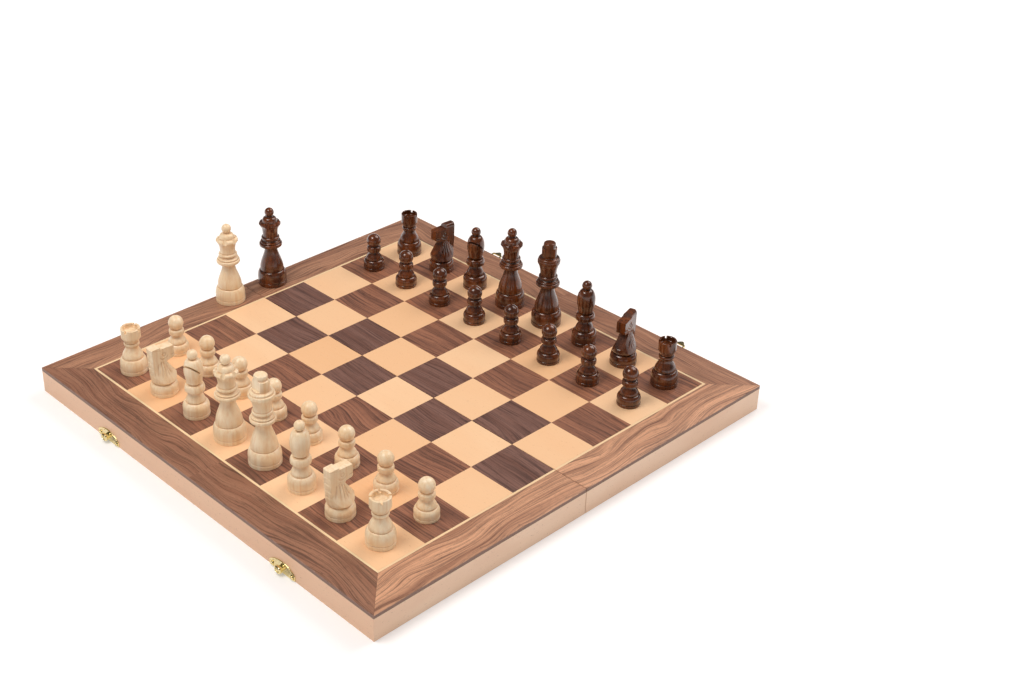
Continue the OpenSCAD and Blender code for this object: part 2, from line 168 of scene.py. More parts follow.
def carved(shape, cutter):
    # cuts a closed solid out of a shape of points, faces and values of painted shade
    pair = []
    for points, faces in (shape[:2], cutter):
        mesh = bpy.data.meshes.new("blank")
        mesh.from_pydata(np.asarray(points, float).tolist(), [], faces)
        pair.append(bpy.data.objects.new("blank", mesh))
        bpy.context.scene.collection.objects.link(pair[-1])
    held = pair[0].data.attributes.new("paintedShade", "FLOAT", "POINT")
    held.data.foreach_set("value", np.asarray(shape[2], np.float32))
    cut = pair[0].modifiers.new("cut", "BOOLEAN")
    cut.operation, cut.solver, cut.object = "DIFFERENCE", "EXACT", pair[1]
    bpy.context.view_layer.update()
    mesh = bpy.data.meshes.new_from_object(pair[0].evaluated_get(bpy.context.evaluated_depsgraph_get()))
    points = np.zeros(len(mesh.vertices) * 3)
    mesh.vertices.foreach_get("co", points)
    paintedShade = np.zeros(len(mesh.vertices), np.float32)
    mesh.attributes["paintedShade"].data.foreach_get("value", paintedShade)
    faces = [list(face.vertices) for face in mesh.polygons]
    for piece in pair:
        bpy.data.objects.remove(piece)
    return points.reshape(-1, 3), faces, paintedShade


# Finishes

def inMillimetres(tree):
    place = addNode(tree, "TexCoord").outputs["Object"]
    return addNode(tree, "VectorMath", {0: place, 1: (1000, 1000, 1000)}, operation="MULTIPLY").outputs[0]


def mix(tree, share, a, b):
    made = addNode(tree, "Mix", data_type="RGBA", blend_type="MIX")
    for key, value in (("Factor_Float", share), ("A_Color", a), ("B_Color", b)):
        socket = next(s for s in made.inputs if s.identifier == key)
        if isinstance(value, bpy.types.NodeSocket):
            tree.links.new(value, socket)
        else:
            socket.default_value = value
    return next(s for s in made.outputs if s.identifier == "Result_Color")


def stretched(tree, place, scale):
    return addNode(tree, "VectorMath", {0: place, 1: scale}, operation="MULTIPLY").outputs[0]


# Every pattern's scale is one over a size in millimetres along each of its three directions.

def noise(tree, place, scale, detail=3.0, roughness=0.5, distortion=0.0):
    return addNode(tree, "TexNoise", {"Vector": stretched(tree, place, scale), "Scale": 1.0,
                                      "Detail": detail, "Roughness": roughness,
                                      "Distortion": distortion}).outputs[0]


def ramp(tree, value, low, high):
    return addNode(tree, "MapRange", {0: value, 1: low, 2: high}, clamp=True).outputs[0]


def movedBy(tree, place, chance):
    # each leaf of wood is cut from somewhere else in the pattern
    shift = stretched(tree, chance.outputs["Color"], (700, 700, 700))
    return addNode(tree, "VectorMath", {0: place, 1: shift}, operation="ADD").outputs[0]


def rankLayout(tree, place):
    # one leaf of veneer runs through all the squares of a rank, cooler in the two middle ranks
    x = addNode(tree, "SeparateXYZ", {0: place}).outputs[0]
    rank = calc(tree, "FLOOR", calc(tree, "DIVIDE", x, board["square"]))
    chance = addNode(tree, "TexWhiteNoise", {"W": rank}, noise_dimensions="1D")
    outer = ramp(tree, calc(tree, "ABSOLUTE", x), board["square"] - 0.1, board["square"] + 0.1)
    warm = addNode(tree, "MapRange", {0: chance.outputs["Value"], 3: 0.65, 4: 1.0}).outputs[0]
    return movedBy(tree, place, chance), calc(tree, "MULTIPLY", outer, warm), None


def squareLayout(tree, place):
    # every square is its own leaf of veneer
    parts = addNode(tree, "SeparateXYZ", {0: place})
    cell = [calc(tree, "FLOOR", calc(tree, "DIVIDE", parts.outputs[i], board["square"])) for i in (0, 1)]
    index = addNode(tree, "CombineXYZ", {0: cell[0], 1: cell[1]}).outputs[0]
    chance = addNode(tree, "TexWhiteNoise", {"Vector": index}, noise_dimensions="3D")
    return movedBy(tree, place, chance), chance.outputs["Value"], None


def frameLayout(tree, place):
    # strips round the board, mitred at the corners: the grain runs along Y where x is the larger
    # and along X elsewhere. Each side gets a fixed tone, the side towards -Y the lightest; on the rails
    # this is painted light, the -Y face drawn as if more light fell on it and the faces towards X darker
    parts = addNode(tree, "SeparateXYZ", {0: place})
    x, y, z = (parts.outputs[i] for i in range(3))
    wide, high = calc(tree, "ABSOLUTE", x), calc(tree, "ABSOLUTE", y)
    longSide = calc(tree, "GREATER_THAN", wide, high)
    shortSide = calc(tree, "SUBTRACT", 1.0, longSide)
    signX = calc(tree, "MULTIPLY", calc(tree, "SIGN", x), longSide)
    signY = calc(tree, "MULTIPLY", calc(tree, "SIGN", y), shortSide)
    index = addNode(tree, "CombineXYZ", {0: signX, 1: signY, 2: longSide}).outputs[0]
    chance = addNode(tree, "TexWhiteNoise", {"Vector": index}, noise_dimensions="3D")
    swap = addNode(tree, "CombineXYZ", {0: y, 1: x, 2: z}).outputs[0]
    laid = mix(tree, longSide, swap, place)
    # painted light on the rails: a fixed tone for each side, lightest towards -Y
    tone = calc(tree, "ADD", calc(tree, "MULTIPLY", signX, 0.08), calc(tree, "MULTIPLY", signY, -0.18))
    tone = calc(tree, "ADD", tone, calc(tree, "SUBTRACT", 0.67, calc(tree, "MULTIPLY", longSide, 0.4)))
    mitre = calc(tree, "LESS_THAN", calc(tree, "ABSOLUTE", calc(tree, "SUBTRACT", wide, high)), 0.1)
    return movedBy(tree, laid, chance), tone, mitre


# Walnut veneer under satin lacquer: fine dark streaks and short open pores on warm or cool brown.
# The pores are drawn about twice as wide as real ones, so that they show.
walnutLook = {
    "cool": "#876357", "warm": "#B07657", "band": "#6C473A", "streak": "#3A2623", "pore": "#33221D",
    "mitre": "#2A1A14", "bandWidth": 6.0, "bandLength": 260.0, "streakWidth": 1.5,
    "streakLength": 75.0, "poreWidth": 0.35, "poreLength": 5.0,
}
borderLook = walnutLook | {"cool": "#8C5F4A", "warm": "#EDB48D", "band": "#8A5B45", "streak": "#4E3329",
                           "bandWidth": 5.0, "streakWidth": 1.1}


def walnut(name, layout, look, figure):
    material, tree, shader = newMaterial(name)
    laid, tone, mitre = layout(tree, inMillimetres(tree))
    # the streaks sway from side to side, and where they sway most they close into tall arches
    sway = noise(tree, laid, (0.022, 0.009, 0.022), 2.0)
    parts = addNode(tree, "SeparateXYZ", {0: laid})
    across = addNode(tree, "Math", {0: sway, 1: figure, 2: parts.outputs[0]}, operation="MULTIPLY_ADD")
    grain = addNode(tree, "CombineXYZ", {0: across.outputs[0], 1: parts.outputs[1]}).outputs[0]
    bands = noise(tree, grain, (1 / look["bandWidth"], 1 / look["bandLength"], 1), 3.0, 0.55)
    streaks = noise(tree, grain, (1 / look["streakWidth"], 1 / look["streakLength"], 1), 4.0, 0.75)
    pores = noise(tree, laid, (1 / look["poreWidth"], 1 / look["poreLength"], 1), 2.0)
    opened = ramp(tree, pores, 0.6, 0.7)
    base = mix(tree, tone, linear(look["cool"]), linear(look["warm"]))
    base = mix(tree, calc(tree, "MULTIPLY", ramp(tree, bands, 0.42, 0.66), 0.7), base,
               linear(look["band"]))
    base = mix(tree, calc(tree, "MULTIPLY", ramp(tree, streaks, 0.47, 0.62), 0.72), base,
               linear(look["streak"]))
    base = mix(tree, calc(tree, "MULTIPLY", opened, 0.5), base, linear(look["pore"]))
    if mitre is not None:
        base = mix(tree, calc(tree, "MULTIPLY", mitre, 0.7), base, linear(look["mitre"]))
    tree.links.new(base, shader.inputs["Base Color"])
    rough = addNode(tree, "MapRange", {0: streaks, 1: 0.3, 2: 0.8, 3: 0.32, 4: 0.44}).outputs[0]
    tree.links.new(rough, shader.inputs["Roughness"])
    shader.inputs["IOR"].default_value = 1.5
    shader.inputs["Coat Weight"].default_value = 0.2
    shader.inputs["Coat Roughness"].default_value = 0.25
    height = calc(tree, "SUBTRACT", calc(tree, "MULTIPLY", streaks, 0.5), opened)
    tree.links.new(bumpOf(tree, height, 0.00004, 0.5), shader.inputs["Normal"])
    return material


# Maple and beech: pale and even to the eye, with a soft silky figure and short dark flecks. The first
# two tones change from leaf to leaf on the squares and from side to side on the frame, which on the rails
# is painted light; the third is a slow cloud, the fourth the silk along the grain.
mapleLook = {"tones": ("#FDD4A8", "#F3BE8B", "#F8C696", "#F4C99E"), "fleck": "#B97F50",
             "fleckShare": 0.5, "coat": 0.2}
inlayLook = {"tones": ("#F9DDB0", "#F6D3A6", "#F8DAAE", "#F2CC9A"), "fleck": "#D9AE7C",
             "fleckShare": 0.2, "coat": 0.2}
# on the rails the second tone is painted light, the colour of the most lit face towards -Y
beechLook = {"tones": ("#F0C09B", "#FFDEC0", "#EBB994", "#F6D0B0"), "fleck": "#9A6644",
             "fleckShare": 0.8, "coat": 0.15}


def paleWood(name, layout, look):
    tones = [linear(tone) for tone in look["tones"]]
    material, tree, shader = newMaterial(name)
    laid, tone, mitre = layout(tree, inMillimetres(tree))
    slow = noise(tree, laid, (1 / 22.0, 1 / 70.0, 1 / 22.0), 2.0)
    silk = noise(tree, laid, (1 / 1.3, 1 / 45.0, 1 / 1.3), 4.0, 0.6)
    flecks = noise(tree, laid, (1 / 0.35, 1 / 2.6, 1 / 0.35), 1.5, 0.5)
    base = mix(tree, tone, tones[0], tones[1])
    base = mix(tree, calc(tree, "MULTIPLY", ramp(tree, slow, 0.35, 0.75), 0.5), base, tones[2])
    base = mix(tree, calc(tree, "MULTIPLY", ramp(tree, silk, 0.45, 0.75), 0.35), base, tones[3])
    fleckAt = ramp(tree, flecks, 0.68, 0.78)
    base = mix(tree, calc(tree, "MULTIPLY", fleckAt, look["fleckShare"]), base, linear(look["fleck"]))
    tree.links.new(base, shader.inputs["Base Color"])
    roughness = addNode(tree, "MapRange", {0: silk, 1: 0.3, 2: 0.8, 3: 0.34, 4: 0.44}).outputs[0]
    tree.links.new(roughness, shader.inputs["Roughness"])
    shader.inputs["IOR"].default_value = 1.5
    shader.inputs["Coat Weight"].default_value = look["coat"]
    shader.inputs["Coat Roughness"].default_value = 0.25
    height = calc(tree, "SUBTRACT", silk, fleckAt)
    tree.links.new(bumpOf(tree, height, 0.00003, 0.4), shader.inputs["Normal"])
    return material


# Turned maple, and darker wood stained brown, under lacquer: the grain runs up the man, and painted shade
# lies in the grooves where the profile is hollow. The tones are two of the wood, its streaks, and the
# painted shade of the grooves.
paleManLook = {"tones": ("#FFECCC", "#FADEB4", "#EAB97F", "#C4813F"), "streaks": 0.45, "grooveShadeShare": 0.8,
               "roughness": 0.34, "coat": 0.3, "coatRoughness": 0.2}
darkManLook = {"tones": ("#47200C", "#7F4014", "#1B0A04", "#0E0503"), "streaks": 0.65, "grooveShadeShare": 0.8,
               "roughness": 0.22, "coat": 0.65, "coatRoughness": 0.04}


def turnedWood(name, look):
    tones = [linear(tone) for tone in look["tones"]]
    material, tree, shader = newMaterial(name)
    place = inMillimetres(tree)
    slow = noise(tree, place, (1 / 9.0, 1 / 9.0, 1 / 45.0), 3.0, 0.55)
    rings = noise(tree, place, (1 / 2.2, 1 / 2.2, 1 / 70.0), 4.0, 0.6, 0.3)
    fine = noise(tree, place, (1 / 0.45, 1 / 0.45, 1 / 9.0), 3.0, 0.6)
    base = mix(tree, ramp(tree, slow, 0.3, 0.7), tones[0], tones[1])
    base = mix(tree, calc(tree, "MULTIPLY", ramp(tree, rings, 0.42, 0.68), look["streaks"]), base,
               tones[2])
    base = mix(tree, calc(tree, "MULTIPLY", ramp(tree, fine, 0.52, 0.75), 0.5 * look["streaks"]), base,
               tones[2])
    # painted shade: darker where the profile is hollow and along the horse's carving
    hollowShade = addNode(tree, "Attribute", attribute_name="paintedShade").outputs["Fac"]
    base = mix(tree, calc(tree, "MULTIPLY", hollowShade, look["grooveShadeShare"]), base, tones[3])
    tree.links.new(base, shader.inputs["Base Color"])
    rough = addNode(tree, "MapRange", {0: fine, 1: 0.3, 2: 0.8, 3: look["roughness"],
                                       4: look["roughness"] + 0.1}).outputs[0]
    tree.links.new(rough, shader.inputs["Roughness"])
    shader.inputs["IOR"].default_value = 1.5
    shader.inputs["Coat Weight"].default_value = look["coat"]
    shader.inputs["Coat Roughness"].default_value = look["coatRoughness"]
    tree.links.new(bumpOf(tree, fine, 0.00003, 0.35), shader.inputs["Normal"])
    return material


# Pressed sheet brass, plated and polished: pale gold with a slight waviness
brassLook = {"clean": "#F2E4B4", "smeared": "#E2CC8C", "roughness": (0.14, 0.26), "wave": 0.0006}


def polishedBrass():
    material, tree, shader = newMaterial("polishedBrass")
    place = inMillimetres(tree)
    waves = noise(tree, place, (0.35, 0.35, 0.35), 2.0)
    smears = noise(tree, place, (2.2, 2.2, 2.2), 4.0, 0.6)
    base = mix(tree, ramp(tree, smears, 0.3, 0.75), linear(brassLook["clean"]),
               linear(brassLook["smeared"]))
    tree.links.new(base, shader.inputs["Base Color"])
    shader.inputs["Metallic"].default_value = 1.0
    shine = brassLook["roughness"]
    rough = addNode(tree, "MapRange", {0: smears, 1: 0.3, 2: 0.8, 3: shine[0], 4: shine[1]}).outputs[0]
    tree.links.new(rough, shader.inputs["Roughness"])
    tree.links.new(bumpOf(tree, waves, brassLook["wave"], 0.35), shader.inputs["Normal"])
    return material


# Plywood panel: its edges are stained dark, its underside is bare
plyLook = {"stained": ("#94705E", "#6E4F42"), "bare": ("#DDBD90", "#C79C69")}


def panelPly():
    material, tree, shader = newMaterial("stainedPly")
    place = inMillimetres(tree)
    normal = addNode(tree, "NewGeometry").outputs["Normal"]
    flat = calc(tree, "ABSOLUTE", addNode(tree, "SeparateXYZ", {0: normal}).outputs[2])
    grain = noise(tree, place, (1 / 0.9, 1 / 50.0, 1 / 0.2), 4.0, 0.6)
    stain = mix(tree, ramp(tree, grain, 0.3, 0.75), *[linear(tone) for tone in plyLook["stained"]])
    bare = mix(tree, ramp(tree, grain, 0.35, 0.7), *[linear(tone) for tone in plyLook["bare"]])
    tree.links.new(mix(tree, ramp(tree, flat, 0.4, 0.6), stain, bare), shader.inputs["Base Color"])
    shader.inputs["Roughness"].default_value = 0.45
    shader.inputs["IOR"].default_value = 1.5
    tree.links.new(bumpOf(tree, grain, 0.00004, 0.4), shader.inputs["Normal"])
    return material


walnutSquares = walnut("walnutVeneer", rankLayout, walnutLook, 26.0)
walnutBorder = walnut("walnutBorderVeneer", frameLayout, borderLook, 34.0)
mapleSquares = paleWood("mapleVeneer", squareLayout, mapleLook)
mapleInlay = paleWood("mapleStringing", frameLayout, inlayLook)
beechRails = paleWood("lacqueredBeech", frameLayout, beechLook)
paleMan = turnedWood("lacqueredMaple", paleManLook)
darkMan = turnedWood("stainedWalnutGloss", darkManLook)
brass = polishedBrass()
ply = panelPly()
print("finishes made")

for half in ("near", "far"):
    for part, finish in (("rails", beechRails), ("panel", ply), ("stringing", mapleInlay),
                         ("light_squares", mapleSquares), ("dark_squares", walnutSquares),
                         ("hinge_leaves", brass), ("hinge_screws", brass)):
        dress(nodes[half + "_" + part], finish)
dress(nodes["hinge_pins"], brass)


# The borders: one profile with a rounded outer edge, a quarter circle, carried round three sides of the
# half board and mitred where it turns
def borderPiece(far):
    b = board
    a = np.linspace(0, np.pi / 2, 6)
    inset = np.concatenate([[0], b["arris"] * (1 - np.cos(a)), [b["border"] - b["glue"]] * 2])
    height = np.concatenate([[b["low"]], b["top"] - b["arris"] * (1 - np.sin(a)), [b["top"], b["low"]]])
    reach = b["half"] - inset
    seam = np.full_like(reach, b["seam"])
    grid = np.stack([np.stack([x, y, height], -1) for x, y in
                     ((seam, reach), (reach, reach), (reach, -reach), (seam, -reach))])
    count = len(inset)
    faces = gridFaces(4, count)
    faces += [list(range(count))[::-1], list(range(3 * count, 4 * count))]
    points = grid.reshape(-1, 3)
    if not far:
        points = points * [-1, 1, 1]
        faces = [f[::-1] for f in faces]
    side = "far" if far else "near"
    piece = addPiece(side + "-border", points, faces, walnutBorder, side + "_half", side + "_border")


borderPiece(False)
borderPiece(True)
print("borders made")


# Profiles of the turned men, as rows of radius and height in millimetres

steps = 12


def turnCurve(r0, z0, r1, z1):
    # a quarter of an ellipse that starts level and ends upright
    a = np.linspace(0, np.pi / 2, steps)
    return np.stack([r0 + (r1 - r0) * np.sin(a), z0 + (z1 - z0) * (1 - np.cos(a))], -1)


def riseCurve(r0, z0, r1, z1):
    # a quarter of an ellipse that starts upright and ends level
    a = np.linspace(0, np.pi / 2, steps)
    return np.stack([r1 + (r0 - r1) * np.cos(a), z0 + (z1 - z0) * np.sin(a)], -1)


def beadCurve(r, z0, z1, out):
    # half an ellipse that stands out from one radius between two heights
    a = np.linspace(-np.pi / 2, np.pi / 2, steps)
    return np.stack([r + out * np.cos(a), (z0 + z1) / 2 + (z1 - z0) / 2 * np.sin(a)], -1)


def waveCurve(r0, z0, r1, z1):
    # the radius follows half a cosine wave while the height grows evenly
    s = np.linspace(0, 1, 2 * steps)
    return np.stack([(r0 + r1) / 2 + (r0 - r1) / 2 * np.cos(np.pi * s), z0 + (z1 - z0) * s], -1)


def flareCurve(r0, z0, r1, z1, power):
    # the radius grows with a power of the height
    s = np.linspace(0, 1, 2 * steps)
    return np.stack([r0 + (r1 - r0) * s ** power, z0 + (z1 - z0) * s], -1)


def ballCurve(z, r, neck):
    # a circle round a point of the axis, from where it is as wide as the neck up to its top
    a = np.linspace(-math.acos(neck / r), np.pi / 2, 2 * steps)
    out = np.stack([r * np.cos(a), z + r * np.sin(a)], -1)
    out[-1, 0] = 0
    return out


def line(*points):
    return np.array(points, float)


def raised(curves, z):
    return [c + [0, z] for c in curves]


def footCurves(r, topR, z):
    # a foot ring with soft edges, a groove above it, and the round body up to its top
    return [line((0, 0), (r - 0.5, 0)), turnCurve(r - 0.35, 0.02, r, 0.45),
            riseCurve(r, z[0] - 0.6, r - 0.3, z[0] - 0.15),
            turnCurve(r - 0.45, z[0], r - 0.1, z[0] + 0.45), riseCurve(r, z[1], topR, z[2])]


def bodyCurves(man):
    # foot and body, a thin edge, and the slender stem up to its top
    r, edgeR, stemR, stemZ = man["footR"], man["edge"] * man["footR"], man["stemR"], man["stemZ"]
    z = np.array(man["levels"]) * stemZ
    return footCurves(r, edgeR - 0.4, z) + [
        turnCurve(edgeR - 0.35, z[2] + 0.08, edgeR, z[2] + 0.7),
        waveCurve(edgeR, z[2] + 0.8, stemR, stemZ - 0.5), line((stemR, stemZ))]


# Each man's dictionary: the foot's radius, the edge as a share of it, the stem's radius and top, and
# the heights of the foot ring, the groove and the body as shares of the stem's top.

royal = {"footR": 11.9, "edge": 0.81, "stemR": 4.9, "stemZ": 34.5, "levels": (0.1, 0.18, 0.375)}


def royalCurves(bellR, rimR, rimZ, power):
    # king and queen up to the rim of the bell
    return bodyCurves(royal) + raised([
        line((8.8, 0.2)), turnCurve(8.95, 0.25, 9.35, 1.2), riseCurve(9.35, 1.8, 8, 3.1),
        beadCurve(7.8, 3.3, 4.4, 0.5), turnCurve(7.7, 4.5, 6.2, 5.8), beadCurve(6.3, 6.3, 8.6, 1.1),
        flareCurve(bellR, 8.9, rimR, rimZ, power)], royal["stemZ"])


def grooveShadeOf(profile):
    # how far a point lies inside the smoothed outline: 1 in a groove, 0 on a bead; this is the painted
    # shade of the grooves
    way = np.concatenate([[0], np.cumsum(np.linalg.norm(np.diff(profile, axis=0), axis=1))])
    even = np.arange(0, way[-1], 0.1)
    radius = np.interp(even, way, profile[:, 0])
    smooth = np.convolve(np.pad(radius, 12, mode="edge"), np.ones(25) / 25, mode="valid")
    return np.clip(np.interp(way, even, smooth - radius) / 0.4, 0, 1)


def turnedMan(profile, segments=112):
    # the profile carried round the Z axis
    curve = np.vstack(profile)
    curve = curve[np.concatenate([[True], np.linalg.norm(np.diff(curve, axis=0), axis=1) > 0.01])]
    angle = np.linspace(0, 2 * np.pi, segments, endpoint=False)
    grid = np.stack([curve[:, :1] * np.cos(angle), curve[:, :1] * np.sin(angle),
                     np.repeat(curve[:, 1:], segments, 1)], -1)
    points, faces = closedGrid(grid)
    # the third part is the painted shade of the grooves
    return points, faces, np.concatenate([np.repeat(grooveShadeOf(curve)[1:-1], segments), [0, 0]])


king = {"bellR": 6.3, "rimZ": 19.7, "flare": 2.3, "drumR": 5.9, "drumTopR": 4.8, "flat": 4.2,
        "flatFrom": 25.1}


def kingMan(turnAngle, rimR):
    k, stemZ, r, topR = king, royal["stemZ"], king["drumR"], king["drumTopR"]
    shape = turnedMan(royalCurves(k["bellR"], rimR, k["rimZ"], k["flare"]) + raised([
        riseCurve(rimR, 21.4, 8.4, 22.3), line((8.2, 22.6)), riseCurve(8.2, 23.2, 6.6, 24.2),
        line((r, 24.5)), riseCurve(r, 31.8, r - 0.4, 32.6), line((topR, 33)),
        riseCurve(topR, 35.2, topR - 1, 36.5), line((2.5, 36.35), (0, 36.3))], stemZ), 128)
    # the drum of the finial is sawn flat on two sides
    bottom = stemZ + k["flatFrom"]
    for low, high in (((k["flat"], -12, bottom), (14, 12, 80)), ((-14, -12, bottom), (-k["flat"], 12, 80))):
        block, faces = boxSolid(low, high)
        shape = carved(shape, (block @ turnZ(turnAngle).T, faces))
    return shape


queen = {"bellR": 6.1, "rimR": 8.85, "rimZ": 19.4, "flare": 3.2, "top": 33.4, "ballR": 3.8,
         "scoops": 6, "scoopR": 1.8, "scoopAt": 40, "scoopTilt": -25}


def queenMan():
    q, stemZ, ball, rimR = queen, royal["stemZ"], queen["ballR"], queen["rimR"]
    shape = turnedMan(royalCurves(q["bellR"], rimR, q["rimZ"], q["flare"]) + raised([
        riseCurve(rimR, 19.7, 7.2, 21.5), line((6.2, 21.7)), riseCurve(6, 22.3, 3, 25.7),
        ballCurve(q["top"] - ball, ball, 2.4)], stemZ), 144)
    # round scoops lean outwards through the rim of the crown
    scoops = []
    for i in range(q["scoops"]):
        around = turnZ(360 // q["scoops"] * i + q["scoopAt"])
        lean = around @ turnY(q["scoopTilt"])
        onRim = around @ np.array([rimR + 0.2, 0, 0]) + [0, 0, stemZ + 19.6]
        scoops.append(roundSolid(q["scoopR"], 8, lean, onRim - lean @ np.array([0, 0, 4])))
    return carved(shape, joined(scoops))


bishop = {"footR": 9.8, "edge": 0.71, "stemR": 4.3, "stemZ": 20.8, "levels": (0.14, 0.35, 0.57),
          "top": 32.8, "ballR": 3.85, "slotWide": 1.2, "slotTilt": 38, "slotZ": 16.2}


def bishopMan(slotAngle):
    b, stemZ, ball = bishop, bishop["stemZ"], bishop["ballR"]
    shape = turnedMan(bodyCurves(b) + raised([
        line((7.1, 0.15)), turnCurve(7.15, 0.2, 7.4, 0.8), riseCurve(7.4, 1.8, 5.8, 5.2),
        turnCurve(5.7, 5.3, 4.2, 6), riseCurve(4.9, 6.2, 5.9, 7.2), waveCurve(5.9, 7.4, 7, 15.4),
        riseCurve(7, 17, 2.9, 25.6), ballCurve(b["top"] - ball, ball, 2.4)], stemZ))
    slot, faces = boxSolid((0, -10, 0), (b["slotWide"], 10, 20), turnY(b["slotTilt"]),
                           (1.2, 0, stemZ + b["slotZ"]))
    return carved(shape, (slot @ turnZ(slotAngle).T, faces))


rook = {"footR": 10.3, "edge": 0.77, "stemR": 4.9, "stemZ": 22.2, "levels": (0.15, 0.26, 0.55),
        "head": 14.8, "slotHalf": 0.75, "slotDeep": 2.2}


def rookMan(slotAngle, wallR):
    stemZ, head, half = rook["stemZ"], rook["head"], rook["slotHalf"]
    shape = turnedMan(bodyCurves(rook) + raised([
        beadCurve(5, 0.2, 2.9, 0.9), line((5.2, 3.3), (5.6, 3.9)), waveCurve(5.6, 4, wallR - 0.5, 6.6),
        turnCurve(wallR - 0.4, 6.7, wallR, 7.2), riseCurve(wallR, head - 0.4, wallR - 0.35, head),
        line((5.45, head), (5.2, head - 0.25)),
        line((5, head - 3.2), (4.6, head - 3.5), (0, head - 3.8))], stemZ))
    slots = [boxSolid((3, -half, -rook["slotDeep"]), (12, half, 3), turnZ(slotAngle + 90 * i),
                      (0, 0, stemZ + head)) for i in range(4)]
    return carved(shape, joined(slots))


pawn = {"footR": 8.8, "edge": 0.77, "stemR": 4, "stemZ": 16.0, "levels": (0.155, 0.31, 0.55),
        "top": 15.1, "ballR": 5.85}


def pawnMan():
    return turnedMan(bodyCurves(pawn) + raised([
        line((5.4, 0.15)), turnCurve(5.5, 0.2, 5.8, 1), riseCurve(5.8, 3, 4.6, 4.4),
        ballCurve(pawn["top"] - pawn["ballR"], pawn["ballR"], 4.1)], pawn["stemZ"]), 96)


# The horse. In every level section the outline is a circle of the turned blank, cut off flat at the
# front, with both sides cut back to a bowed flank and, above that, to the flat head. Its lines are
# shares of the foot's radius and of the height; a gouge is its top, its foot and how far it bends.
horse = {"r": 10.4, "h": 40.0, "headHalf": 3.65, "rowStep": 0.32,
         "blank": [(0.72, 0.24), (0.80, 0.25), (0.87, 0.275), (0.92, 0.31), (0.94, 0.36), (1, 0.52),
                   (1.04, 0.67), (1.06, 1.1)],
         "front": [(1.2, 0), (1.2, 0.35), (0.92, 0.39), (0.18, 0.66), (0.22, 0.69), (0.74, 0.71),
                   (0.82, 0.74)],
         "flank": [(0.85, 0.24), (0.85, 0.275), (0.75, 0.35), (0.6, 0.45), (0.423, 0.6), (0.303, 0.72),
                   (0, 0.74)],
         "crown": {"white": [(0.79, 0.95), (-0.25, 0.965), (-0.31, 1)],
                   "black": [(0.8, 0.95), (-0.16, 0.965), (-0.25, 1.03)]},
         "gouges": [((-5.6, 27.5), (-7.6, 17.5), 0.5), ((-3.4, 28.5), (-4.6, 15.2), 0.7),
                    ((-1.4, 27.8), (-1.4, 14.2), 0.4), ((0.4, 26.4), (1.9, 14.8), -0.2),
                    ((1.2, 24.4), (4.6, 16.4), -0.7)],
         "gougeWidth": 0.42, "gougeDeep": 0.42, "eye": (-0.4, 33.4), "eyeR": 1.35}


def shareCurve(shares, z):
    # radius at the heights z of a line given in shares of the horse's radius and height
    table = np.array(shares)
    return np.interp(z, table[:, 1] * horse["h"], table[:, 0]) * horse["r"]


